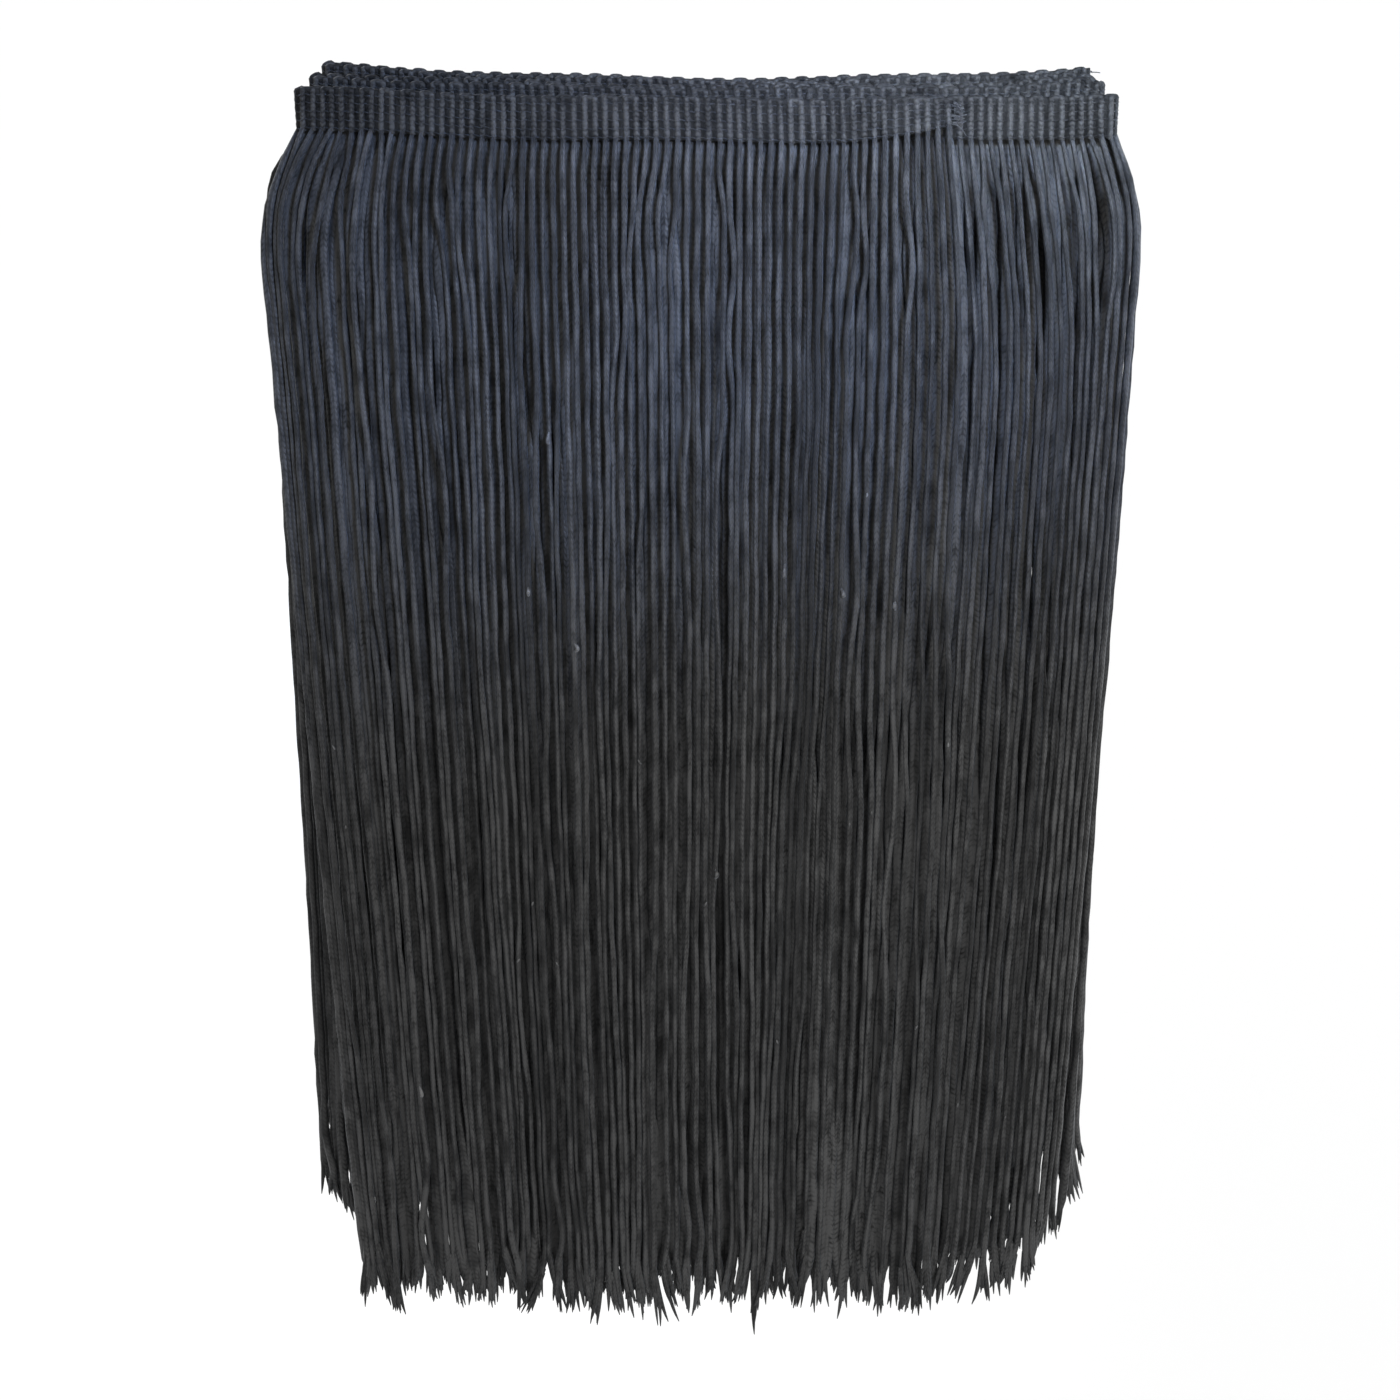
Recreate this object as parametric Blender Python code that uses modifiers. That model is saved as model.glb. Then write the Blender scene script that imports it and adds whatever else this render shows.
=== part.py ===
"""Tassel fringe trim: one length of ribbed heading tape with a comb of chainette cords below it,
folded back and forth on itself and hung by the heading's top edge.

Two pieces: `heading`, the tape, and `fringe`, the comb of cords sewn to the tape's lower edge.
Units are metres, +Z up, and the front faces -Y. The origin is on the top edge of the rearmost
pass of the tape, at the middle of its width.
"""
import bpy
import numpy as np

# ---- driving sizes ---------------------------------------------------------------------------
HEADING_HEIGHT = 0.0100      # top edge of the tape to its lower edge
HEADING_THICK = 0.0014
FRINGE_THICK = 0.0015        # one row of chainette cords, side by side
CORD_DROP = 0.2870           # lower edge of the tape to the cut ends at the side folds
SEAM_GAP = 0.0003            # between the tape and the cords sewn to it
TOOTH_PITCH = 0.0115         # five cords to a tooth
SLIT = 0.0012                # gap between two teeth
SPINE = 0.0090               # solid band of cords under the tape, above the slits

STACK_MIDDLE = 0.0171        # first pass to last, at the middle of the width
STACK_END = 0.0240           # the same at the side folds, where the tape springs open
BOW = 0.0112                 # how far the side folds stand behind the middle
SKEW = 0.0032                # the left folds stand further back than the right ones
HEM_HALF_DEPTH = 0.0278      # the bundle opens towards the hem
HEM_BOW = 0.0070
SHOULDER_LEFT = 0.0083       # cords at the foremost left fold fan out this far past it
SHOULDER_RIGHT = 0.0056      # cords at the foremost right fold, likewise
REAR_LEFT = 0.0063           # the folds behind are narrower on the left, so their cords fan out more
REAR_RIGHT = 0.0020
SHOULDER_DROP = 0.0250       # all reach that width this far below the tape
RAGGED = 0.0022              # unevenness of the cut ends

# At the hem the foremost fold stands clear of the rest: lower, less bowed and drawn in.
FRONT_EXTRA_DROP = 0.0140
FRONT_RIGHT_RISE = 0.60      # share of that drop which it loses again at its right fold
FRONT_STRAIGHTENED = 0.75    # share of the hem's bow which it loses
FRONT_FROM = 0.08            # depth share, towards the front, where this begins
FRONT_OVER = 0.67            # and over how much depth share it becomes full
FRONT_DRAWN_LEFT = 0.134     # share of the half width by which the cut ends are drawn in
FRONT_DRAWN_RIGHT = 0.122
SPREAD_LEFT = 0.012          # and by which those of the folds behind spread
SPREAD_RIGHT = 0.034

# One row for each pass of the tape, front to back. The passes lie in three close pairs.
#  step    clear step back from the pass before it, at the middle of the width (share of the stack)
#  left    where the pass ends on the left, half of the fold that joins it to its neighbour
#  right   the same on the right
#  lift    how much higher or lower than the origin its top edge lies
PASSES = np.array(
    [
        # step,   left,    right,   lift
        (0.000, -0.0891, 0.0560, -0.0003),
        (0.115, -0.0891, 0.0903, -0.0009),
        (0.245, -0.0866, 0.0903, 0.0004),
        (0.115, -0.0866, 0.0865, 0.0007),
        (0.410, -0.0852, 0.0865, 0.0002),
        (0.115, -0.0852, 0.0893, 0.0003),
    ],
    dtype=[("step", float), ("left", float), ("right", float), ("lift", float)],
)
FOLD_DROOP = 0.0024          # a fold as deep as half the stack sags by this much
HALF_WIDTH = 0.0925          # of the folded tape, used to scale the bows and the shoulders

# The loose end of the front pass curls: its lower edge rises and stands forward.
CURL_LENGTH = 0.030
CURL_RISE = 0.0034
CURL_FORWARD = 0.0016
CURL_SINK = 0.0010           # and its top edge sinks at the very end

COLOURS = {"heading": (0.030, 0.033, 0.041, 1.0), "fringe": (0.022, 0.025, 0.034, 1.0)}


# ---- the folded route, seen from above --------------------------------------------------------
def route(points_per_fold=13):
    """Across-position, depth share (-1 front, +1 back), lift and length along the folded tape.

    Each pass is a straight run at its own depth share. Two passes are joined by half a turn,
    whose depth share follows a cosine and whose across-position and sag follow a sine.
    """
    depth = 2.0 * np.cumsum(PASSES["step"]) - 1.0
    across, share, lift = [], [], []
    turn = np.linspace(0.0, np.pi, points_per_fold)
    for index, row in enumerate(PASSES):
        leftwards = index % 2 == 0
        start, stop = (row["right"], row["left"]) if leftwards else (row["left"], row["right"])
        run = np.linspace(start, stop, 40)
        across.append(run)
        share.append(np.full(run.size, depth[index]))
        lift.append(np.full(run.size, row["lift"]))
        if index + 1 < len(PASSES):
            step = depth[index + 1] - depth[index]
            reach = step * STACK_END / 4.0
            side = -1.0 if leftwards else 1.0
            inner = turn[1:-1]
            blend = (1.0 - np.cos(inner)) / 2.0
            climb = (PASSES["lift"][index + 1] - row["lift"]) * blend
            across.append(stop + side * reach * np.sin(inner))
            share.append(depth[index] + step * blend)
            lift.append(row["lift"] + climb - FOLD_DROOP * step * np.sin(inner))
    across, share, lift = (np.concatenate(part) for part in (across, share, lift))
    x, y = heading_plan(across, share)
    length = np.concatenate([[0.0], np.cumsum(np.hypot(np.diff(x), np.diff(y)))])
    return across, share, lift, length


def heading_plan(across, share):
    """Plan position at the tape: a stack of passes bowed back at both side folds."""
    side = np.abs(across) / HALF_WIDTH
    half_stack = (STACK_MIDDLE + (STACK_END - STACK_MIDDLE) * side**2) / 2.0
    bowed = BOW * side**2 - SKEW * across / HALF_WIDTH
    return across, bowed + share * half_stack - STACK_MIDDLE / 2.0


def frontness(share):
    """0 for the rear and middle passes, rising smoothly to 1 for the foremost fold."""
    rise = np.clip((-share - FRONT_FROM) / FRONT_OVER, 0.0, 1.0)
    return rise**2 * (3.0 - 2.0 * rise)


def cord_plan(across, share, fall):
    """Plan position at a share `fall` of the cord drop (0 at the tape, 1 at the cut ends).

    The side folds fan out over the shoulder, then hang straight. The bundle opens slowly
    from the stack's depth to the hem's. Its foremost fold draws in towards the hem, and the
    passes behind it spread a little.
    """
    x_top, y_top = heading_plan(across, share)
    side = np.clip(np.abs(across) / HALF_WIDTH, 0.0, 1.05)
    fanned = np.clip(fall * CORD_DROP / SHOULDER_DROP, 0.0, 1.0)
    fanned = np.sin(fanned * np.pi / 2.0)
    left = across < 0.0
    front = frontness(share)
    drawn = np.where(left, FRONT_DRAWN_LEFT, FRONT_DRAWN_RIGHT) * front
    behind = 1.0 - np.clip(-share, 0.0, 1.0) ** 2
    drawn -= np.where(left, SPREAD_LEFT, SPREAD_RIGHT) * behind
    wider = np.where(left, REAR_LEFT, REAR_RIGHT) * behind
    shoulder = np.where(left, SHOULDER_LEFT, SHOULDER_RIGHT) + wider
    half_width = np.abs(x_top) + shoulder * side**3 * fanned
    x = np.sign(across) * half_width * (1.0 - drawn * fall**1.1)
    half_hem = HEM_HALF_DEPTH * (1.0 - 0.08 * side**4)
    bowed = HEM_BOW * side**2 * (1.0 - FRONT_STRAIGHTENED * front)
    y_hem = bowed + share * half_hem - STACK_MIDDLE / 2.0
    opened = 1.0 - (1.0 - fall) ** 1.5
    return x, y_top + (y_hem - y_top) * opened


def cord_drop(across, share):
    """Length of the cords at each station: the foremost fold's reach further down."""
    side = np.clip(np.abs(across) / HALF_WIDTH, 0.0, 1.0)
    kept = 1.0 - np.where(across < 0.0, 0.0, FRONT_RIGHT_RISE) * side**9
    return CORD_DROP + FRONT_EXTRA_DROP * frontness(share) * kept


def tape_edges(across, share, lift, length):
    """Heights of the tape's top and lower edges, and how far the lower one stands forward."""
    curl = np.clip(1.0 - length / CURL_LENGTH, 0.0, 1.0) ** 2
    level = lift + 0.0003 * np.sin(across * 95.0 + share * 4.0)
    top = level - CURL_SINK * curl**2
    return top, level - HEADING_HEIGHT + CURL_RISE * curl, CURL_FORWARD * curl


def stations_between(start, stop, fold_marks, clearance=0.0007):
    """The two ends of a stretch of tape and the fold marks that lie well inside it."""
    inner = fold_marks[(fold_marks > start + clearance) & (fold_marks < stop - clearance)]
    return np.concatenate([[start], inner, [stop]])


# ---- making the objects ------------------------------------------------------------------------
def material(name):
    """A matt, dark, dyed yarn finish."""
    finish = bpy.data.materials.new(name)
    finish.use_nodes = True
    shader = finish.node_tree.nodes["Principled BSDF"]
    shader.inputs["Base Color"].default_value = COLOURS[name]
    shader.inputs["Roughness"].default_value = 0.75
    shader.inputs["Metallic"].default_value = 0.0
    return finish


def cloth_object(name, points, faces, thickness, collection):
    """An open surface thickened evenly on both sides into one closed piece."""
    mesh = bpy.data.meshes.new(name)
    mesh.from_pydata(points.tolist(), [], faces)
    mesh.materials.append(material(name))
    piece = bpy.data.objects.new(name, mesh)
    collection.objects.link(piece)
    wall = piece.modifiers.new("wall", "SOLIDIFY")
    wall.thickness = thickness
    wall.offset = 0.0
    wall.use_even_offset = True
    wall.use_quality_normals = True
    return piece


def make_heading(collection, across, share, lift, length, fold_marks):
    """The tape: a strip two bands high along the whole folded route."""
    marks = np.linspace(0.0, length[-1], 82)
    marks = np.unique(np.concatenate([marks, fold_marks]))
    marks = marks[np.concatenate([[True], np.diff(marks) > 0.0007])]
    marks[-1] = length[-1]
    a, s, l = (np.interp(marks, length, part) for part in (across, share, lift))
    top, low, forward = tape_edges(a, s, l, marks)
    x, y = heading_plan(a, s)
    rows = [(top, 0.0), ((top + low) / 2.0, 0.25), (low, 1.0)]
    points = np.concatenate([np.stack([x, y - forward * out, z], axis=1) for z, out in rows])
    count = marks.size
    faces = [
        (row * count + k, (row + 1) * count + k, (row + 1) * count + k + 1, row * count + k + 1)
        for row in range(len(rows) - 1)
        for k in range(count - 1)
    ]
    return cloth_object("heading", points, faces, HEADING_THICK, collection)


def make_fringe(collection, across, share, lift, length, fold_marks):
    """The comb: a solid band under the tape, then teeth with slits between and uneven ends."""
    teeth = int(round(length[-1] / TOOTH_PITCH))
    pitch = length[-1] / teeth
    marks, tooth_of = [], []
    for tooth in range(teeth):
        start = tooth * pitch + (SLIT / 2.0 if tooth else 0.0)
        stop = (tooth + 1) * pitch - (SLIT / 2.0 if tooth + 1 < teeth else 0.0)
        stretch = stations_between(start, stop, fold_marks)
        marks.append(stretch)
        tooth_of.extend([tooth] * stretch.size)
    marks = np.concatenate(marks)
    tooth_of = np.array(tooth_of)
    a, s, l = (np.interp(marks, length, part) for part in (across, share, lift))
    _, low, forward = tape_edges(a, s, l, marks)

    falls = np.array([0.0, SPINE / CORD_DROP, 0.085, 0.17, 0.36, 0.66, 1.0])
    plans = [cord_plan(a, s, fall) for fall in falls]
    # Where the cords lean out at a fold, the thickened top edge tips up, so it starts lower.
    lean = np.arctan2(np.hypot(plans[1][0] - plans[0][0], plans[1][1] - plans[0][1]), SPINE)
    top = low - SEAM_GAP - np.sin(lean) * FRINGE_THICK / 2.0

    ragged = RAGGED * (np.sin(marks * 410.0) + np.sin(marks * 967.0 + 1.0)) / 2.0
    drop = cord_drop(a, s) + ragged

    points = [
        np.stack([x, y - forward * (1.0 - fall) ** 6, top - drop * fall], axis=1)
        for fall, (x, y) in zip(falls, plans)
    ]
    count = marks.size
    faces = [
        (row * count + k, (row + 1) * count + k, (row + 1) * count + k + 1, row * count + k + 1)
        for row in range(falls.size - 1)
        for k in range(count - 1)
        if row == 0 or tooth_of[k] == tooth_of[k + 1]
    ]
    return cloth_object("fringe", np.concatenate(points), faces, FRINGE_THICK, collection)


def fold_stations(share, length, points_per_turn=7):
    """Lengths along the tape at which each side fold gets a station, ends of the turn included."""
    depth = 2.0 * np.cumsum(PASSES["step"]) - 1.0
    marks = []
    for index in range(len(PASSES) - 1):
        step = depth[index + 1] - depth[index]
        blend = (1.0 - np.cos(np.linspace(0.0, np.pi, points_per_turn))) / 2.0
        inside = (share > depth[index] - 1e-9) & (share < depth[index + 1] + 1e-9)
        turning = inside & (share > depth[index] + 1e-9) & (share < depth[index + 1] - 1e-9)
        first = np.nonzero(turning)[0][0] - 1
        last = np.nonzero(turning)[0][-1] + 1
        marks.append(
            np.interp(depth[index] + step * blend, share[first : last + 1], length[first : last + 1])
        )
    return np.concatenate(marks)


for old in list(bpy.data.objects):
    bpy.data.objects.remove(old, do_unlink=True)
trim = bpy.data.collections.new("tassel_fringe_trim")
bpy.context.scene.collection.children.link(trim)

ACROSS, SHARE, LIFT, LENGTH = route()
FOLDS = fold_stations(SHARE, LENGTH)
make_heading(trim, ACROSS, SHARE, LIFT, LENGTH, FOLDS)
make_fringe(trim, ACROSS, SHARE, LIFT, LENGTH, FOLDS)
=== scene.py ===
"""Looks of the tassel fringe trim: heading, cords and their cut ends, then light and camera."""

import bpy
import numpy as np
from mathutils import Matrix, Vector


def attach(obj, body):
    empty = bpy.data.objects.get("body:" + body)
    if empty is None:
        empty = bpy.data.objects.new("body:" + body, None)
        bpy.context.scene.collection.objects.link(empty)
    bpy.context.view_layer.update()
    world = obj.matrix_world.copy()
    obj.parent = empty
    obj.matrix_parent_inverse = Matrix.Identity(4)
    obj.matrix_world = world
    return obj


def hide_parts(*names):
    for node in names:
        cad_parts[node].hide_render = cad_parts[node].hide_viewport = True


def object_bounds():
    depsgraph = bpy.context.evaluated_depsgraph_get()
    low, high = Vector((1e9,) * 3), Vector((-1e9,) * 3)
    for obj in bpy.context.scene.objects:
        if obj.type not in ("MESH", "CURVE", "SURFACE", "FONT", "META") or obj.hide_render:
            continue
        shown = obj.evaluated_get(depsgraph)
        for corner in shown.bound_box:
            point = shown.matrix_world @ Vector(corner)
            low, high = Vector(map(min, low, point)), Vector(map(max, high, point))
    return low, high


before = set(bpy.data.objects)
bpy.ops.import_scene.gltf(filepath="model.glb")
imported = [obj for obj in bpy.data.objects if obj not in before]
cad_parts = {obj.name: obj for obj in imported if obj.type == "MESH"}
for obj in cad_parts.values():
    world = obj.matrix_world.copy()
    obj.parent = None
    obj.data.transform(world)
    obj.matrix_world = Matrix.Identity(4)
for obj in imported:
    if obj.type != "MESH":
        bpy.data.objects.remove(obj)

cad_low, cad_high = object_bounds()

# ==== heading tape ============================================================
# The heading is a crochet-knitted braid about 10 mm tall. One chainette cord runs up and down in
# ribs and turns over at the top edge, and warp stitches lock the ribs. One length of it is folded
# back and forth in six passes, which lie in three close pairs, and all hangs by its top edge.

TAPE_HEIGHT = 0.0100
RIB_PITCH = 0.0023
WEB_HALF_THICK = 0.00022     # the threads between two ribs
LOOP_HEIGHT = 0.0004         # the web's own edge lies this far below the top of the ribs
HALF_WIDTH = 0.0925          # of the folded heading
STACK_MIDDLE = 0.0171        # first pass to last, at the middle of the width
STACK_END = 0.0240           # the same at the side folds
BOW = 0.0112                 # how far the side folds stand behind the middle
SKEW = 0.0032                # the left folds stand further back than the right ones
FOLD_DROOP = 0.0024          # a fold as deep as half the stack sags by this much
EDGE_WAVE = 0.0003           # both edges of the tape rise and fall by this much,
WAVE_ACROSS = 95.0           # in radians to a metre of width
WAVE_DEPTH = 4.0             # and in radians to half the stack
CURL_LENGTH = 0.030          # the loose end's lower edge curls up and forward over this length
CURL_RISE = 0.0034
CURL_FORWARD = 0.0016
CURL_SINK = 0.0010           # and its top edge sinks at the very end
DIP_PASS = 2                 # near its right end the third pass slopes down,
DIP = 0.0030                 # by this much,
DIP_OVER = (0.0840, 0.0900)  # between these distances from the middle,
DIP_REACH = 0.49             # and less with depth, to nothing at this share of half the stack
RIB_DRIFT = 0.00011          # unevenness of the rib spacing: two waves,
DRIFT_WAVES = (271.0, 613.0)    # in radians to a metre of tape,
DRIFT_PHASE = 2.0            # and the start of the second
TANGENT_STEP = 0.0003
TINY = 1e-9                  # keeps a divisor from being zero
PASS_POINTS = 40
TURN_POINTS = 13             # of which the first and the last are the passes' own

# One row for each pass, front to back: its step back from the pass before it as a share of the
# stack, where it ends on the left and on the right, and how high its top edge lies.
PASSES = np.array(
    [
        (0.000, -0.0891, 0.0560, -0.0003),
        (0.115, -0.0891, 0.0903, -0.0009),
        (0.245, -0.0866, 0.0903, 0.0004),
        (0.115, -0.0866, 0.0865, 0.0007),
        (0.410, -0.0852, 0.0865, 0.0002),
        (0.115, -0.0852, 0.0893, 0.0003),
    ],
    dtype=[("step", float), ("left", float), ("right", float), ("lift", float)],
)
PASS_SHARES = 2.0 * np.cumsum(PASSES["step"]) - 1.0      # depth shares, from -1 in front to 1


def tape_plan(across, share):
    """Plan of the stack: each pass keeps its share of the depth, which widens to the sides with
    the square of the distance, and the whole stack bows back with the same square."""
    side = np.abs(across) / HALF_WIDTH
    half_stack = (STACK_MIDDLE + (STACK_END - STACK_MIDDLE) * side**2) / 2.0
    bowed = BOW * side**2 - SKEW * across / HALF_WIDTH
    return np.stack([across, bowed + share * half_stack - STACK_MIDDLE / 2.0], axis=-1)


def folded_route():
    """Across-position, depth share, lift and length along the tape: straight passes joined by
    half turns, in which depth follows a cosine, and across-position and sag follow a sine."""
    turn = np.linspace(0.0, np.pi, TURN_POINTS)[1:-1]
    blend = (1.0 - np.cos(turn)) / 2.0
    across, share, lift = [], [], []
    for index, row in enumerate(PASSES):
        leftwards = index % 2 == 0
        start, stop = (row["right"], row["left"]) if leftwards else (row["left"], row["right"])
        across.append(np.linspace(start, stop, PASS_POINTS))
        share.append(np.full(PASS_POINTS, PASS_SHARES[index]))
        lift.append(np.full(PASS_POINTS, row["lift"]))
        if index + 1 < len(PASSES):
            step = PASS_SHARES[index + 1] - PASS_SHARES[index]
            radius = step * STACK_END / 4.0
            across.append(stop + (-radius if leftwards else radius) * np.sin(turn))
            share.append(PASS_SHARES[index] + step * blend)
            climb = (PASSES["lift"][index + 1] - row["lift"]) * blend
            lift.append(row["lift"] + climb - FOLD_DROOP * step * np.sin(turn))
    across, share, lift = (np.concatenate(part) for part in (across, share, lift))
    steps = np.diff(tape_plan(across, share), axis=0)
    return across, share, lift, np.concatenate([[0.0], np.cumsum(np.hypot(*steps.T))])


ROUTE = folded_route()
TRIM_LENGTH = ROUTE[-1][-1]
RIBS = int(TRIM_LENGTH / RIB_PITCH)


def route_at(length):
    """Across-position, depth share and lift at each length along the tape."""
    return [np.interp(length, ROUTE[-1], part) for part in ROUTE[:-1]]


def ramp(value, start, stop):
    """0 before `start` and 1 beyond `stop`, with a straight line between them."""
    return np.clip((value - start) / (stop - start), 0.0, 1.0)


def smooth_ramp(value, start, stop):
    """A ramp that sets out and arrives level: three times its square less twice its cube."""
    rise = ramp(value, start, stop)
    return rise**2 * (3.0 - 2.0 * rise)


def unit(vectors):
    """Each vector scaled to a length of one."""
    return vectors / np.maximum(np.linalg.norm(vectors, axis=-1, keepdims=True), TINY)


def along_tape(length):
    """Plan position, outward normal, top and bottom height and forward curl at each length. The
    height is the pass's lift and a slow sine, less the dip, a smooth ramp that fades with depth.
    The curl grows with the square of the distance towards the loose end."""
    across, share, lift = route_at(length)
    ahead, behind = (
        tape_plan(*route_at(length + step)[:2]) for step in (TANGENT_STEP, -TANGENT_STEP)
    )
    tangent = unit(ahead - behind)
    normal = np.stack([-tangent[..., 1], tangent[..., 0]], axis=-1)
    curl = ramp(length, CURL_LENGTH, 0.0) ** 2
    level = lift + EDGE_WAVE * np.sin(across * WAVE_ACROSS + share * WAVE_DEPTH)
    dipping = ramp(np.abs(share - PASS_SHARES[DIP_PASS]), DIP_REACH, 0.0) ** 2
    level = level - DIP * smooth_ramp(across, *DIP_OVER) * dipping
    top = level - CURL_SINK * curl**2
    bottom = level - TAPE_HEIGHT + CURL_RISE * curl
    return tape_plan(across, share), normal, top, bottom, CURL_FORWARD * curl


def curl_at(forward, up):
    """How far the tape comes forward at a share of its height: the curl at the lower edge, and
    none of it at the top, with the power 1.5 of the share that is left."""
    return forward * (1.0 - up) ** 1.5


def rib_drift(length):
    """Small unevenness of the rib spacing: two sines of unlike wavelength."""
    first, second = DRIFT_WAVES
    return RIB_DRIFT * (np.sin(length * first) + np.sin(length * second + DRIFT_PHASE))


def lifted(xy, z):
    """Plan positions and heights put together as points."""
    return np.concatenate([xy, z[..., None]], axis=-1)


def woven_mesh(name, points, faces, corner_uv, tone, material):
    """A smooth mesh piece from arrays: points, one array of faces for each face size, a texture
    position for each face corner, and one shade value for each point. It hangs with the rest."""
    mesh = bpy.data.meshes.new(name)
    corners = np.concatenate([part.ravel() for part in faces]).astype(np.int32)
    sizes = np.concatenate([np.full(len(part), part.shape[1]) for part in faces])
    mesh.vertices.add(len(points))
    mesh.vertices.foreach_set("co", points.astype(np.float32).ravel())
    mesh.loops.add(len(corners))
    mesh.loops.foreach_set("vertex_index", corners)
    mesh.polygons.add(len(sizes))
    starts = np.concatenate([[0], np.cumsum(sizes)[:-1]]).astype(np.int32)
    mesh.polygons.foreach_set("loop_start", starts)
    mesh.update(calc_edges=True)
    mesh.uv_layers.new(name="UVMap").uv.foreach_set("vector", corner_uv.astype(np.float32).ravel())
    shade = mesh.attributes.new("tone", "FLOAT", "POINT")
    shade.data.foreach_set("value", tone.astype(np.float32).ravel())
    mesh.shade_smooth()
    mesh.materials.append(material)
    piece = bpy.data.objects.new(name, mesh)
    bpy.context.scene.collection.objects.link(piece)
    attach(piece, "root")
    return piece


def ring_faces(rings, sides):
    """Quads between neighbouring rings of closed sections, and each corner's ring and side, the
    side counting on past the last one where the section closes."""
    ring, side = np.meshgrid(np.arange(rings - 1), np.arange(sides), indexing="ij")
    ring = np.stack([ring, ring, ring + 1, ring + 1], axis=-1).reshape(-1, 4)
    side = np.stack([side, side + 1, side + 1, side], axis=-1).reshape(-1, 4)
    return ring * sides + side % sides, ring, side


def node_group(name, inputs, outputs):
    """A shader node group with these sockets, and the nodes that its inputs and outputs sit on."""
    group = bpy.data.node_groups.new(name, "ShaderNodeTree")
    for in_out, sockets in (("INPUT", inputs), ("OUTPUT", outputs)):
        for socket, kind in sockets.items():
            group.interface.new_socket(socket, in_out=in_out, socket_type="NodeSocket" + kind)
    return group, group.nodes.new("NodeGroupInput"), group.nodes.new("NodeGroupOutput")


def calc(group, operation, *values):
    """One Math node of a node group, fed with numbers and sockets. Gives its output socket."""
    node = group.nodes.new("ShaderNodeMath")
    node.operation = operation
    for socket, value in zip(node.inputs, values):
        if isinstance(value, (int, float)):
            socket.default_value = value
        else:
            group.links.new(value, socket)
    return node.outputs[0]


FIBRE_STRETCH = 0.45         # scale of the noises along the yarn, beside 1 across it
FIBRE_NOISES = ((160.0, 3.0, 2.00), (760.0, 2.0, 2.80))  # scale, detail and weight of each
RELIEF_SHADE_WEIGHT = 1.00
SHADE_BASE = -1.80           # brings the mean of both noises down to 0.6
ROUGH_DARK = 0.72
ROUGH_LIGHT = 0.46


def yarn_group():
    """Node group: the shade of spun yarn. Two noises, one soft and drawn out along the yarn and
    one fine, and the stitch relief are added up and scaled by the piece's own shade value. The
    relief darkens the valleys between stitches as painted shade. The result blends the dark
    colour into the light one, and the light parts are less rough."""
    group, inner, outer = node_group(
        "yarn shade", {"Dark": "Color", "Light": "Color", "Relief": "Float"},
        {"Color": "Color", "Roughness": "Float"},
    )
    nodes, links = group.nodes, group.links
    place = nodes.new("ShaderNodeTexCoord")
    stretch = nodes.new("ShaderNodeMapping")
    stretch.inputs["Scale"].default_value = (1.0, 1.0, FIBRE_STRETCH)
    links.new(place.outputs["Object"], stretch.inputs["Vector"])
    total = SHADE_BASE
    for scale, detail, weight in FIBRE_NOISES:
        noise = nodes.new("ShaderNodeTexNoise")
        noise.inputs["Scale"].default_value = scale
        noise.inputs["Detail"].default_value = detail
        links.new(stretch.outputs["Vector"], noise.inputs["Vector"])
        total = calc(group, "MULTIPLY_ADD", noise.outputs["Fac"], weight, total)
    # painted shade: the stitch relief darkens the valleys between the stitches
    total = calc(group, "MULTIPLY_ADD", inner.outputs["Relief"], RELIEF_SHADE_WEIGHT, total)
    tone = nodes.new("ShaderNodeAttribute")
    tone.attribute_name = "tone"
    shade = calc(group, "MULTIPLY", total, tone.outputs["Fac"])
    blend = nodes.new("ShaderNodeMix")
    blend.data_type = "RGBA"
    links.new(shade, blend.inputs["Factor"])
    links.new(inner.outputs["Dark"], blend.inputs["A"])
    links.new(inner.outputs["Light"], blend.inputs["B"])
    links.new(blend.outputs["Result"], outer.inputs["Color"])
    rough = nodes.new("ShaderNodeMapRange")
    rough.inputs["To Min"].default_value = ROUGH_DARK
    rough.inputs["To Max"].default_value = ROUGH_LIGHT
    links.new(shade, rough.inputs["Value"])
    links.new(rough.outputs["Result"], outer.inputs["Roughness"])
    return group


STITCH_SLANT = 0.6           # how far along a stitch its outer end trails, as a share of it
CREST_POWER = 3.0


def knit_group():
    """Node group: relief of a chainette, rows of V-shaped stitches. Across U, each wale is a round
    crest that falls off with the cube of the distance from its middle. Along V, each stitch is a
    half sine, slanted away from the wale's middle."""
    group, inner, outer = node_group(
        "chainette stitches", {"Wales": "Float", "Stitches": "Float"}, {"Height": "Float"}
    )
    nodes, links = group.nodes, group.links
    place = nodes.new("ShaderNodeUVMap")
    place.uv_map = "UVMap"
    split = nodes.new("ShaderNodeSeparateXYZ")
    links.new(place.outputs["UV"], split.inputs["Vector"])
    wale = calc(group, "FRACT", calc(group, "MULTIPLY", split.outputs["X"], inner.outputs["Wales"]))
    away = calc(group, "ABSOLUTE", calc(group, "MULTIPLY_ADD", wale, 2.0, -1.0))
    row = calc(group, "MULTIPLY", split.outputs["Y"], inner.outputs["Stitches"])
    stitch = calc(group, "FRACT", calc(group, "MULTIPLY_ADD", away, STITCH_SLANT, row))
    bead = calc(group, "SINE", calc(group, "MULTIPLY", stitch, np.pi))
    crest = calc(group, "SUBTRACT", 1.0, calc(group, "POWER", away, CREST_POWER))
    links.new(calc(group, "MULTIPLY", bead, crest), outer.inputs["Height"])
    return group


YARN_SHADE = yarn_group()
CHAINETTE = knit_group()
KNIT_BUMP = 0.8
SHEEN_ROUGHNESS = 0.45
SHEEN_TINT = (0.80, 0.88, 1.0, 1.0)


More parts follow.
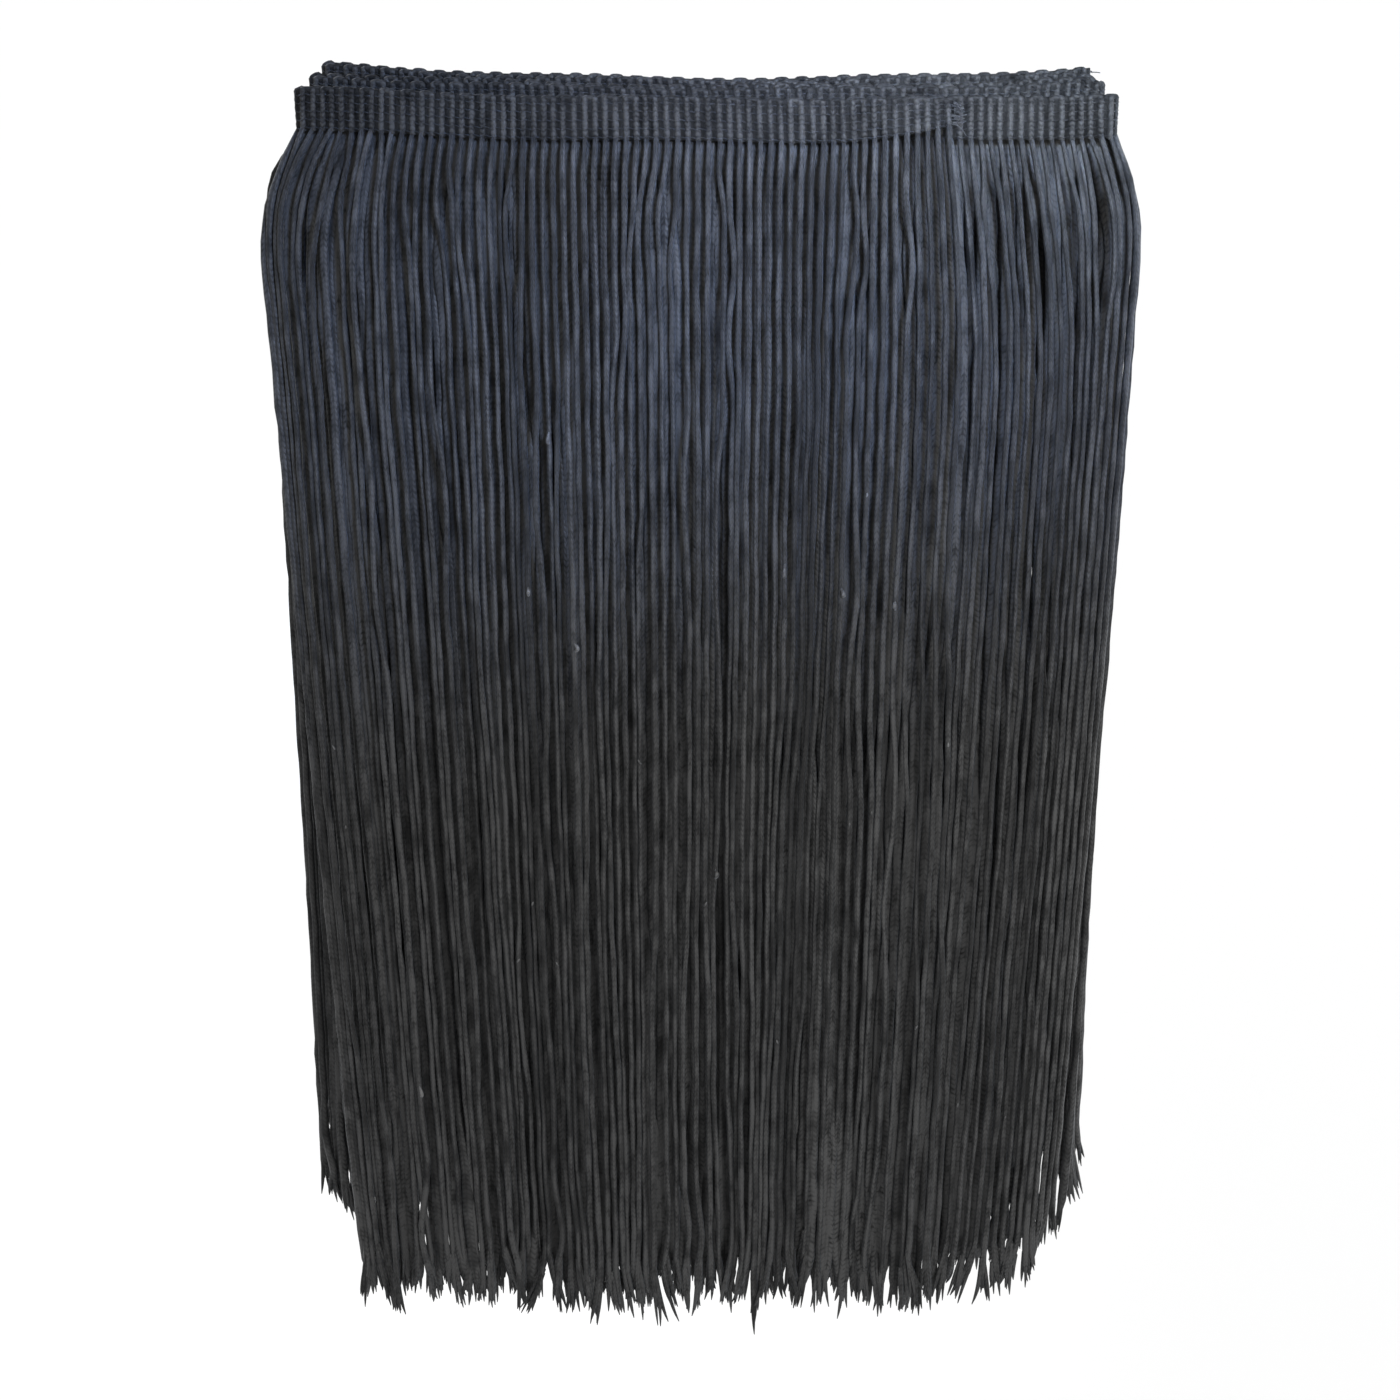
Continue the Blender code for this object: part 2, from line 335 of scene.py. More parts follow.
def yarn_material(name, dark, light, wales, stitches, relief, sheen, gloss=0.15):
    """Dyed rayon yarn: shaded by the yarn group, with knitted relief and a soft fibre sheen."""
    material = bpy.data.materials.new(name)
    material.use_nodes = True
    nodes, links = material.node_tree.nodes, material.node_tree.links
    shader = nodes["Principled BSDF"]
    shade = nodes.new("ShaderNodeGroup")
    shade.node_tree = YARN_SHADE
    shade.inputs["Dark"].default_value = (*dark, 1.0)
    shade.inputs["Light"].default_value = (*light, 1.0)
    links.new(shade.outputs["Color"], shader.inputs["Base Color"])
    links.new(shade.outputs["Roughness"], shader.inputs["Roughness"])
    knit = nodes.new("ShaderNodeGroup")
    knit.node_tree = CHAINETTE
    knit.inputs["Wales"].default_value = wales
    knit.inputs["Stitches"].default_value = stitches
    bump = nodes.new("ShaderNodeBump")
    bump.inputs["Strength"].default_value = KNIT_BUMP
    bump.inputs["Distance"].default_value = relief
    links.new(knit.outputs["Height"], bump.inputs["Height"])
    links.new(knit.outputs["Height"], shade.inputs["Relief"])
    links.new(bump.outputs["Normal"], shader.inputs["Normal"])
    shader.inputs["Specular IOR Level"].default_value = gloss
    shader.inputs["Sheen Weight"].default_value = sheen
    shader.inputs["Sheen Roughness"].default_value = SHEEN_ROUGHNESS
    shader.inputs["Sheen Tint"].default_value = SHEEN_TINT
    return material


WEB_RINGS = 2                # to a rib
WEB_UP = np.array([0.0, 0.02, 0.25, 0.50, 0.75, 0.98, 1.0])      # shares of its height
WEB_SWELL = np.array([0.3, 1.0, 1.0, 1.0, 1.0, 1.0, 0.3])        # and of its thickness there
# painted shade: the web between the ribs is the same black yarn, kept far darker than the ribs for
# the shade in the grooves
WEB_SHADED_TONE = 0.22
HEADING_STITCH = 0.0011      # length of one stitch of the heading's yarn
GROUND = yarn_material(
    "black heading ground", (0.0020, 0.0020, 0.0020), (0.030, 0.0295, 0.028),
    wales=2.0, stitches=1.0 / HEADING_STITCH, relief=0.00005, sheen=0.0, gloss=0.03,
)


def make_web():
    """The strip between the ribs: at each length a thin closed section with rounded edges, its
    two faces half a thickness to either side of the folded route."""
    length = np.linspace(0.0, TRIM_LENGTH, RIBS * WEB_RINGS + 1)
    plan, normal, top, bottom, forward = along_tape(length)
    up, swell = np.concatenate([WEB_UP, WEB_UP[::-1]]), np.concatenate([WEB_SWELL, -WEB_SWELL[::-1]])
    xy = plan[:, None, :] + normal[:, None, :] * (WEB_HALF_THICK * swell)[:, None]
    xy[..., 1] -= curl_at(forward[:, None], up)
    height = (top - LOOP_HEIGHT - bottom)[:, None] * up
    points = lifted(xy, bottom[:, None] + height).reshape(-1, 3)
    rings, sides = height.shape
    quads, _, _ = ring_faces(rings, sides)
    cap = np.array([[k, k + 1, sides - 2 - k, sides - 1 - k] for k in range(sides // 2 - 1)])
    faces = np.concatenate([quads[:, ::-1], cap[:, ::-1], cap + (rings - 1) * sides])
    along = np.repeat(length / RIB_PITCH, sides)
    uv = np.stack([along, height.ravel()], axis=-1)[faces.ravel()]
    return woven_mesh("heading_tape", points, [faces], uv, np.full(len(points), WEB_SHADED_TONE), GROUND)


heading_tape = make_web()
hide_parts("heading")

# ==== ribs and top loops ======================================================
# The rib cord runs up one rib, turns over in a small arch a little above the rib tops and comes
# down the next, so every two ribs are one strand. The arches give the heading its finely beaded
# top edge, one bump for every two ribs. Each warp stitch pinches the ribs that it crosses.

RIB_SEED = 7
RIB_HALF_WIDTH = 0.00080
RIB_HALF_THICK = 0.00066
RIB_SIDES = 10
RIB_RINGS = 16               # up each rib
TURN_RINGS = (-0.86, -0.5, 0.0, 0.5, 0.86)     # over the turn, as shares of half a pitch,
TURN_NARROWED = 0.30         # drawn towards its middle by up to this share
ARCH = 0.0003                # how far the turn between two ribs stands above their tops
ARCH_UNEVEN = (0.6, 1.3)
TOP_INSET = 0.8              # share of a rib's half thickness kept free above the turn
RIB_LEAN = 0.0005            # how far a rib's top leans along the tape,
LEAN_WAVE = 31.0             # in radians to a metre of tape
LEAN_PHASE = 0.6
STITCH_ROWS = np.array([0.07, 0.28, 0.49, 0.70, 0.90])   # heights of the warp stitches
PINCH_REACH = 0.045          # share of the height that one of them pinches
PINCHED = 0.20               # how much thinner the rib is there
TURN_THINNED = 0.30          # and at the top of the turn
RIB_UNEVEN = (0.94, 1.06)
RIB_TONE = (0.78, 0.10)      # mean shade, and how it differs from strand to strand
PINCH_PAINTED_SHADE = 0.16           # a rib is darker where it is pinched (painted shade in the crease under the stitch),
TURN_SHADE = 0.25            # in the turn
TOP_SHADE = 0.22             # and above this share of its height
TOP_FROM = 0.75
# painted shade: share of a rib's tone left on its flanks beside its neighbours
RIB_SHADED_FLANK = 0.45
OPEN_POWER = 1.5             # how fast the painted shade on a strand's flanks sets in beside its neighbours


def strand_frame(path, facing):
    """Two directions square to each strand's own: the first also square to `facing`."""
    tangent = unit(np.gradient(path, axis=1))
    first = unit(np.cross(np.broadcast_to(facing, path.shape), tangent))
    return first, np.cross(tangent, first)


def strand_mesh(name, path, facing, wide, deep, sides, tone, shaded_flank, material, twist=0.0):
    """Closed tubes along many paths as one piece. Path is strands by rings by three, and each
    ring is an ellipse `wide` by `deep`, its depth towards `facing` and turned by `twist`. U is
    the share round the tube and V the length along it. The shade is the strand's tone on its two
    open faces and falls to the flank share of it beside its neighbours, with a power of the
    sine: painted shade where the strands hide each other from the light."""
    strands, rings = path.shape[:2]
    wide, deep, turned, tone = (
        np.broadcast_to(value, path.shape[:2])[..., None] for value in (wide, deep, twist, tone)
    )
    first, second = strand_frame(path, facing)
    angle = 2.0 * np.pi * np.arange(sides) / sides
    a, b = wide * np.cos(angle), deep * np.sin(angle)
    u = a * np.cos(turned) - b * np.sin(turned)
    v = a * np.sin(turned) + b * np.cos(turned)
    points = path[:, :, None] + first[:, :, None] * u[..., None] + second[:, :, None] * v[..., None]
    quads, ring, side = ring_faces(rings, sides)
    base = (np.arange(strands) * rings * sides)[:, None]
    run = np.zeros((strands, rings))
    run[:, 1:] = np.cumsum(np.linalg.norm(np.diff(path, axis=1), axis=-1), axis=1)
    along = run[:, ring]
    uv = np.stack([np.broadcast_to(side / sides, along.shape), along], axis=-1).reshape(-1, 2)
    quads = (base[:, None] + quads).reshape(-1, 4)
    fan = np.arange(sides)[None, :]
    caps = np.concatenate([(base + fan)[:, ::-1], base + (rings - 1) * sides + fan])
    uv = np.concatenate([uv, np.zeros((caps.size, 2))])
    # painted shade: the flanks that face neighbouring strands are darkened for the shade between them
    open_face = np.abs(np.sin(angle + turned)) ** OPEN_POWER
    shade = tone * (shaded_flank + (1.0 - shaded_flank) * open_face)
    return woven_mesh(name, points.reshape(-1, 3), [quads, caps], uv, shade.ravel(), material)


def rib_lean(length):
    """How far a rib's top leans along the tape: a slow sine."""
    return RIB_LEAN * np.sin(length * LEAN_WAVE + LEAN_PHASE)


random = np.random.default_rng(RIB_SEED)
pairs = np.arange(RIBS // 2)[:, None]
rise = np.linspace(0.0, 1.0, RIB_RINGS)
climb = np.concatenate([rise, np.ones(len(TURN_RINGS)), rise[::-1]])
turn_over = np.concatenate([np.full(RIB_RINGS, -1.0), TURN_RINGS, np.full(RIB_RINGS, 1.0)])
over = np.sqrt(1.0 - turn_over**2)
at = (2 * pairs + 1) * RIB_PITCH + turn_over * RIB_PITCH / 2.0 * (1.0 - TURN_NARROWED * over)
at = at - rib_drift(at) + rib_lean(at) * climb
plan, normal, top, bottom, forward = along_tape(at)
plan[..., 1] -= curl_at(forward, climb)
reach = top - ARCH - TOP_INSET * RIB_HALF_THICK - bottom
z = bottom + reach * climb + random.uniform(*ARCH_UNEVEN, pairs.shape) * ARCH * over
pinch = sum(np.exp(-(((climb - row) / PINCH_REACH) ** 2)) for row in STITCH_ROWS)
size = (1.0 - PINCHED * pinch) * (1.0 - TURN_THINNED * over)
size = size * random.uniform(*RIB_UNEVEN, pairs.shape)
# painted shade: each rib is darker in the crease where a warp stitch pinches it
tone = random.normal(*RIB_TONE, pairs.shape) - PINCH_PAINTED_SHADE * pinch - TURN_SHADE * over
tone = np.clip(tone - TOP_SHADE * ramp(climb, TOP_FROM, 1.0), 0.0, 1.0)
braid = yarn_material(
    "black heading braid", (0.0020, 0.0020, 0.0020), (0.037, 0.0365, 0.035),
    wales=2.0, stitches=1.0 / HEADING_STITCH, relief=0.00010, sheen=0.03, gloss=0.08,
)
heading_ribs = strand_mesh(
    "heading_ribs", lifted(plan, z), lifted(normal, np.zeros_like(z)),
    RIB_HALF_WIDTH * size, RIB_HALF_THICK * size, RIB_SIDES, tone, RIB_SHADED_FLANK, braid,
)

# ==== warp stitches ===========================================================
# Five rows of fine chain stitch run along the tape on both faces and lock the ribs. They cross
# each rib where it is pinched and sink into each groove. They are of the same black yarn.

STITCH_THREAD = 0.00015
STITCH_SIDES = 3
STITCH_RINGS = 4             # to a rib
STITCH_SUNK = 0.8            # share of a rib's half thickness at which the thread crosses it,
STITCH_PROUD = 0.00005       # and how far it stands out everywhere
STITCH_INSET = 0.0005        # the rows are spread over the web's height less this
STITCH_SWAY = 0.00015
STITCH_TONE = 0.20           # mean shade, and how much lighter it is painted on a rib, with painted shade in the grooves
STITCH_LIT = 0.45

length = np.linspace(0.0, TRIM_LENGTH, RIBS * STITCH_RINGS + 1)
plan, normal, top, bottom, forward = along_tape(length)
wave = np.cos(2.0 * np.pi * (length + rib_drift(length)) / RIB_PITCH)
on_rib = (1.0 - wave) / 2.0
over_ribs = WEB_HALF_THICK + (STITCH_SUNK * RIB_HALF_THICK - WEB_HALF_THICK) * on_rib
rows = []
for face in (1.0, -1.0):
    for row in STITCH_ROWS:
        xy = plan + normal * (face * (over_ribs + STITCH_PROUD))[:, None]
        xy[:, 1] -= curl_at(forward, row)
        z = bottom + (top - LOOP_HEIGHT - STITCH_INSET - bottom) * row
        rows.append(lifted(xy, z + STITCH_SWAY * np.roll(wave, 1)))
warp_yarn = yarn_material(
    "black warp stitch", (0.003, 0.003, 0.003), (0.040, 0.039, 0.037),
    wales=1.0, stitches=1.0 / HEADING_STITCH, relief=0.00003, sheen=0.05,
)
# painted shade: the warp thread is darker where it sinks into a groove and lighter where it crosses a
# rib
heading_stitches = strand_mesh(
    "heading_stitches", np.array(rows), (0.0, 0.0, 1.0), STITCH_THREAD, STITCH_THREAD, STITCH_SIDES,
    np.clip(STITCH_TONE - STITCH_LIT * wave, 0.0, 1.0)[None, :], 1.0, warp_yarn,
)

# ==== chainette cords =========================================================
# One knitted chainette cord hangs from each rib, about 1.4 mm wide and 0.29 m long. The cords fan
# out round the side folds, then hang straight. They lie in loose clumps, drift a little on the
# way down and part in narrow gaps, and the bundle opens towards the hem.

CORD_SEED = 20
CORD_DROP = 0.2870
CORD_SPACE = 0.00135         # nearest that two cords' middles may come
SHOULDER_DROP = 0.0250       # the cords fan out over this height,
SHOULDER = (0.0083, 0.0056)  # by this much at the left and the right side folds,
REAR = (0.0063, 0.0020)      # and in the rows behind the front by this much more
HEM_HALF_DEPTH = 0.0278      # half the bundle's depth at the hem,
HEM_NARROWED = 0.08          # less this share at the sides
HEM_BOW = 0.0070
HEM_SHARES = (-0.97, -0.89, -0.22, -0.12, 0.89, 0.97)    # close passes draw together at the hem
SPREAD = (0.012, 0.034)      # left and right, the rows behind the front spread by these shares,
FRONT_DRAWN = (0.134, 0.122)     # and the foremost fold draws in by these
FRONT_OVER = (0.08, 0.75)    # shares in front of the middle where a row starts to be that and is
FRONT_STRAIGHTENED = 0.75    # share of the bow that it loses at the hem
FRONT_EXTRA_DROP = 0.0140    # it hangs lower by this,
FRONT_RIGHT_RISE = 0.60      # of which its right side loses this share
END_FROM = 0.024             # beyond this the loose end's cords, free on one side, lean outwards
END_LEAN = 0.008
FRONT_PAIR = -0.6            # rows in front of this depth share are the front pair
ALONE_OVER = 0.004           # past the loose end, its second row hangs alone
FILL_PASS = 2                # there the third pass comes forward instead,
FILL_FROM = 0.012            # from this far left of the loose end
FILL_TO = 0.088              # to this far right of the middle,
FILL_OVER = 0.008            # and comes and goes over this width
FILL_AS_FRONT = 0.85         # it hangs as the foremost fold does by this share,
FILL_FORWARD = 0.55          # and this much further forward, in shares of the half depth
SAME_PASS = 0.02             # rows this near in depth share are of one pass
UNEVEN_FAN = 0.30            # how unevenly the cords follow the shoulder,
UNEVEN_FAN_MOST = 0.70
UNEVEN_WITHIN = 0.96         # further in than this share of the width
PAIR_BOUNDS = (-0.52, 0.36)  # depth shares between the three pairs of passes

random = np.random.default_rng(CORD_SEED)
cord_at = (np.arange(RIBS) + 0.5) * RIB_PITCH
cord_at = cord_at - rib_drift(cord_at)
across, share, _ = route_at(cord_at)
root_plan, root_normal, _, root_bottom, root_forward = along_tape(cord_at)
root_along = np.stack([-root_normal[:, 1], root_normal[:, 0]], axis=1)
side = np.abs(across) / HALF_WIDTH
left = across < 0.0
loose_end = PASSES["right"][0]
front_right = cord_at < 2.0 * loose_end      # the part of the front pass on the right
loose = ramp(across, END_FROM, loose_end) * front_right
alone = ramp(across, loose_end, loose_end + ALONE_OVER) * (share < FRONT_PAIR)
filling = ramp(across, loose_end - FILL_FROM, loose_end - FILL_FROM + FILL_OVER)
filling = filling * ramp(across, FILL_TO, FILL_TO - FILL_OVER)
filling = filling * (np.abs(share - PASS_SHARES[FILL_PASS]) < SAME_PASS)
front = np.maximum(smooth_ramp(-share, *FRONT_OVER), FILL_AS_FRONT * filling)
pair_of = np.digitize(share, PAIR_BOUNDS)
uneven_fan = np.clip(random.normal(0.0, UNEVEN_FAN, RIBS), -UNEVEN_FAN_MOST, UNEVEN_FAN_MOST)
follow = 1.0 + (side < UNEVEN_WITHIN) * uneven_fan


def cord_plan(fall):
    """Plan position of every cord at a share of the drop: the tape's, fanned out over the shoulder
    by a quarter sine and the cube of the distance from the middle, then drawn in or spread almost
    evenly on the way down. In depth it opens fastest at the top, where the end's curl fades."""
    fanned = np.sin(ramp(fall * CORD_DROP, 0.0, SHOULDER_DROP) * np.pi / 2.0)
    free = 1.0 - np.clip(-share, 0.0, 1.0) ** 2
    drawn = np.where(left, *FRONT_DRAWN) * front - np.where(left, *SPREAD) * free
    shoulder = np.where(left, *SHOULDER) + np.where(left, *REAR) * free
    outwards = np.abs(across) + shoulder * follow * side**3 * fanned
    x = np.sign(across) * outwards * (1.0 - drawn * fall**1.1) + END_LEAN * loose**2 * fall**0.9
    bowed = HEM_BOW * side**2 * (1.0 - FRONT_STRAIGHTENED * front)
    hem_share = np.interp(share, PASS_SHARES, HEM_SHARES) - FILL_FORWARD * filling
    half_hem = HEM_HALF_DEPTH * (1.0 - HEM_NARROWED * side**4)
    y_hem = bowed + hem_share * half_hem - STACK_MIDDLE / 2.0
    y_top = root_plan[:, 1]
    y = y_top + (y_hem - y_top) * (1.0 - (1.0 - fall) ** 1.5) - root_forward * (1.0 - fall) ** 6
    return np.stack([x, y], axis=1)


LOOSEST = 0.0011             # widest step between neighbours at the side folds,
LOOSER_INSIDE = 4.0          # at the middle wider by so many times that
LOOSE_WITHIN = 0.86          # share of the width within which it widens
CLOSED_BY = 0.20             # share of the drop over which the cords draw together


def close_up(place, fall):
    """Draws the outer cords of each pair of passes together until no two neighbours lie further
    apart than LOOSEST near the folds, and several times that further in, then moves them back out
    with the fourth power of the distance from the middle to the width they had. At the top it
    comes in over CLOSED_BY with the square of a sine."""
    closed = place.copy()
    eased = np.sin(ramp(fall, 0.0, CLOSED_BY) * np.pi / 2.0) ** 2
    for pair in range(len(PAIR_BOUNDS) + 1):
        members = np.flatnonzero(pair_of == pair)
        order = members[np.argsort(place[members, 0])]
        x = place[order, 0]
        width = np.where(x[1:] < 0.0, -x[0], x[-1])
        inwards = ramp(np.abs(x[1:] + x[:-1]) / 2.0, LOOSE_WITHIN * width, 0.0)
        excess = np.clip(np.diff(x) - LOOSEST * (1.0 + LOOSER_INSIDE * inwards), 0.0, None)
        excess = np.concatenate([[0.0], np.cumsum(excess)])
        drawn = x - (excess - np.interp(0.0, x, excess))
        edge, lost = np.where(
            x < 0.0, [[drawn[0]], [x[0] - drawn[0]]], [[drawn[-1]], [x[-1] - drawn[-1]]]
        )
        closed[order, 0] = x + (drawn + lost * (drawn / edge) ** 4 - x) * eased
    return closed


def shared_drift(*shape, window=9):
    """Normal noise that neighbouring cords share: a Hann-weighted sum along the cords."""
    noise = random.normal(0.0, 1.0, (*shape, RIBS + window - 1))
    weights = np.hanning(window + 2)[1:-1]
    weights /= np.sqrt((weights**2).sum())
    return np.apply_along_axis(np.convolve, -1, noise, weights, "valid")


def clump_pull(largest):
    """The shift of each cord towards the middle of its clump, counted in cords."""
    first = np.concatenate([[0], np.cumsum(random.integers(2, largest + 1, RIBS))])
    clump = np.searchsorted(first, np.arange(RIBS), side="right") - 1
    return (first[clump] + first[clump + 1] - 1) / 2.0 - np.arange(RIBS)


DEPTH_COUNTS = 0.14          # what a step in depth counts beside one across,
FOLD_OVER = (0.955, 0.975)   # rising to 1 between these shares of the width


def spread_apart(place, rounds):
    """Pushes cords that come too near apart by half of what they lack each, in a few rounds. A
    step in depth counts little, so the cords of close passes settle between each other."""
    weight = DEPTH_COUNTS + (1.0 - DEPTH_COUNTS) * ramp(side, *FOLD_OVER)
    weight = np.maximum(weight[:, None], weight[None, :])
    for _ in range(rounds):
        gap = place[:, None, :] - place[None, :, :]
        far = np.sqrt(gap[..., 0] ** 2 + (gap[..., 1] * weight) ** 2) + TINY
        np.fill_diagonal(far, 1.0)
        lacking = np.clip(CORD_SPACE - far, 0.0, None) * 0.5
        gap[..., 1] *= weight
        place = place + ((lacking / far)[..., None] * gap).sum(axis=1)
    return place


LEVELS = np.array([0.0, 0.02, 0.05, 0.09, 0.14, 0.2, 0.27, 0.35, 0.44, 0.53, 0.62, 0.71, 0.8, 0.88,
                   0.94, 0.97, 1.0])                     # shares of the drop
LARGEST_CLUMPS = (4, 5, 4, 5, 3)     # in cords, at even steps of the drop
CLUMPED = 0.11               # share of its way to the clump's middle that a cord goes
DRIFT_ASIDE = 0.0012         # what neighbours share of their drift, sideways,
DRIFT_OUT_TOP = 0.0004       # and outwards at the top
DRIFT_OUT_MORE = 0.0012      # and by this more at the hem,
STRAY_ASIDE = 0.0003         # and what each has of its own
STRAY_OUT = 0.0004
WANDERERS = 0.08             # share of the cords that cross the others on the way down
WANDER = 0.0022
DRIFT_BY = 0.06              # share of the drop over which all of this sets in
SPREAD_ROUNDS = 12
INNER_FULL = 0.55            # a row counts as inside the stack in full this near its middle
CALM_AT_SIDES = 0.80         # shares by which the drift is less at the sides,
CALM_INSIDE = 0.65           # inside the stack
CALM_ALONE = 0.55            # and in the row that hangs alone

clumps = np.array([clump_pull(largest) for largest in LARGEST_CLUMPS])
drift = np.cumsum(shared_drift(2, LEVELS.size), axis=1) / np.sqrt(LEVELS.size)
stray = np.cumsum(random.normal(0.0, 1.0, (2, LEVELS.size, RIBS)), axis=1) / np.sqrt(LEVELS.size)
hidden = ramp(np.abs(share), 1.0, INNER_FULL) * (1.0 - alone)
calm = (1.0 - CALM_AT_SIDES * side**6) * (1.0 - CALM_INSIDE * hidden) * (1.0 - CALM_ALONE * alone)
wander = (random.random(RIBS) < WANDERERS) * random.normal(0.0, WANDER, RIBS)
placed = []
for index, fall in enumerate(LEVELS):
    early = ramp(fall, 0.0, DRIFT_BY)
    at = fall * (len(clumps) - 1)
    low = min(int(at), len(clumps) - 2)
    pull = clumps[low] + (clumps[low + 1] - clumps[low]) * (at - low)
    aside = RIB_PITCH * CLUMPED * pull + DRIFT_ASIDE * drift[0, index] + STRAY_ASIDE * stray[0, index]
    aside = aside + wander * fall**2
    outward = (DRIFT_OUT_TOP + DRIFT_OUT_MORE * fall) * drift[1, index] + STRAY_OUT * stray[1, index]
    place = cord_plan(fall) + root_along * (aside * early * calm)[:, None]
    place = place + root_normal * (outward * early * calm)[:, None]
    placed.append(close_up(spread_apart(place, SPREAD_ROUNDS), fall) if index else place)
placed = np.array(placed)


def smooth_between(values, wanted):
    """Values at the wanted shares of the drop, on a cubic through those at LEVELS, whose slope at
    each level is that between its neighbours."""
    slopes = np.gradient(values, LEVELS, axis=0)
    low = np.clip(np.searchsorted(LEVELS, wanted, side="right") - 1, 0, LEVELS.size - 2)
    width = (LEVELS[low + 1] - LEVELS[low])[:, None, None]
    t = (wanted - LEVELS[low])[:, None, None] / width
    ends = (2 * t**3 - 3 * t**2 + 1) * values[low] + (3 * t**2 - 2 * t**3) * values[low + 1]
    turns = (t**3 - 2 * t**2 + t) * slopes[low] + (t**3 - t**2) * slopes[low + 1]
    return ends + turns * width


CORD_SIDES = 8
CORD_RINGS = 66
RING_POWER = 1.1             # the rings lie closer together at the top
ROOT_INSIDE = 0.0006         # each cord starts this far up inside its rib
LENGTH_SHARED = 0.0013       # how the lengths differ between groups of neighbours,
LENGTH_OWN = 0.0014          # and from cord to cord
LENGTH_LESS = 0.0020         # room for the cords that hang lowest
SLIPPED_SHARE = 0.05         # a few have slipped and hang lower by this
SLIPPED = (0.002, 0.006)
RIPPLES = ((70.0, 0.00009), (117.0, 0.00005))            # radians over the drop, and height
RIPPLE_BY = 0.10
END_CURL = 0.0012            # the last part of a cord bends off by about this
END_CURL_FROM = 0.95

slipped = (random.random(RIBS) < SLIPPED_SHARE) * random.uniform(*SLIPPED, RIBS)
lengths = LENGTH_SHARED * shared_drift(window=7) + random.normal(0.0, LENGTH_OWN, RIBS)
lengths = lengths + slipped - LENGTH_LESS
kept = 1.0 - np.where(left, 0.0, FRONT_RIGHT_RISE) * np.minimum(side, 1.0) ** 9
drop = CORD_DROP + FRONT_EXTRA_DROP * front * kept + lengths
falls = np.linspace(0.0, 1.0, CORD_RINGS) ** RING_POWER
plan = smooth_between(placed, falls).transpose(1, 0, 2)
phase = random.uniform(0.0, 2.0 * np.pi, (RIBS, len(RIPPLES)))
ripple = sum(
    height * np.sin(falls * turns + phase[:, [k]]) for k, (turns, height) in enumerate(RIPPLES)
)
plan = plan + root_along[:, None, :] * (ramp(falls, 0.0, RIPPLE_BY) * ripple)[..., None]
end_curl = random.normal(0.0, END_CURL, (RIBS, 1, 2))
plan = plan + end_curl * ramp(falls, END_CURL_FROM, 1.0)[:, None] ** 2
root = root_bottom + ROOT_INSIDE
cord_path = lifted(plan, root[:, None] - (drop + ROOT_INSIDE)[:, None] * falls)

CORD_WIDE = 0.00068          # half sizes of the flattened cord
CORD_DEEP = 0.00060
ROOT_THIN = 0.20             # it is thinner by this share where it leaves the rib,
ROOT_REACH = 0.012           # over about this share of the drop,
END_THIN = 0.40              # and only this share is left at its end,
END_TAPER = 0.0060           # after this length
CORD_UNEVEN = (0.88, 1.10)   # from cord to cord,
RING_UNEVEN = (0.84, 1.16)   # and along each
PRESSED = 1.25               # cords inside the stack are pressed wider by up to this share,
EXPOSED_LESS = 0.60          # less where they show at the sides,
EXPOSED_OVER = (0.074, 0.082)    # which comes in between these distances from the middle
EXPOSED_BELOW = 0.40         # and over this share of the drop
RELAXED = 0.12               # all cords swell towards the hem by this share,
RELAXED_INSIDE = 0.20        # those inside the stack
RELAXED_SECOND = 0.35        # and those just behind an outer row by more,
RELAXED_OVER = (0.78, 0.92)  # between these shares of the drop
BUNCHED = 0.5                # in the turn of a fold they are deeper by this share
ROLL = 0.22                  # how much a cord turns about itself from level to level, in radians,
ROLL_MOST = 0.8              # and in all
ROLL_HELD = 0.8              # share of that which is held back inside the stack

size = 1.0 - ROOT_THIN * np.exp(-falls / ROOT_REACH)
to_end = ramp((1.0 - falls) * CORD_DROP, 0.0, END_TAPER)
size = size * (END_THIN + (1.0 - END_THIN) * np.sqrt(to_end))
uneven = random.uniform(*CORD_UNEVEN, (RIBS, 1)) * random.uniform(*RING_UNEVEN, (RIBS, CORD_RINGS))
exposed = ramp(np.abs(across), *EXPOSED_OVER)[:, None] * ramp(falls, 0.0, EXPOSED_BELOW)
flattened = 1.0 + PRESSED * hidden[:, None] * (1.0 - EXPOSED_LESS * exposed)
second = (np.abs(np.abs(share) - PASS_SHARES[-2]) < SAME_PASS) * (1.0 - alone) + filling
relaxed = RELAXED + RELAXED_INSIDE * hidden + RELAXED_SECOND * second
relaxed = ramp(falls, *RELAXED_OVER) * relaxed[:, None]
size = uneven * size * (1.0 + relaxed)
bunched = (1.0 + BUNCHED * np.abs(root_normal[:, 0]) ** 2)[:, None]
roll = random.normal(0.0, ROLL, (LEVELS.size, RIBS)).cumsum(axis=0) * (1.0 - ROLL_HELD * hidden)
roll = np.sin(roll) * ROLL_MOST
turned = smooth_between(roll[..., None], falls)[..., 0].T

CORD_TONE = (0.56, 0.08)     # mean shade of a cord, and how it differs from cord to cord,
TONE_SHARED = 0.08           # from neighbours to neighbours
INSIDE_PAINTED_LIGHT = 0.14           # and painted lighter by this inside the stack, to lift the shade in the gaps
HEM_PAINTED_LIGHT = 0.60             # the cords are painted paler towards their ends, painted light from the floor below,
HEM_LIGHT_FROM = 0.78             # down from this share of the drop
TONE_ROOT = 0.45             # near the top it is paler inside the stack
TONE_ROOT_LESS = 0.10        # and darker outside,
ROOT_FADE = 0.25             # over about this share of the drop
MOTTLE = 0.34                # how much the yarn's shade varies along a cord, as a share
MOTTLE_SEED = 23
TONE_RANGE = (0.1, 1.3)
# painted shade: share of a cord's tone left on its flanks beside its neighbours
CORD_SHADED_FLANK = 0.47
CORD_STITCH = 0.0014         # length of one stitch of the chainette
CORD_PIECES = 4

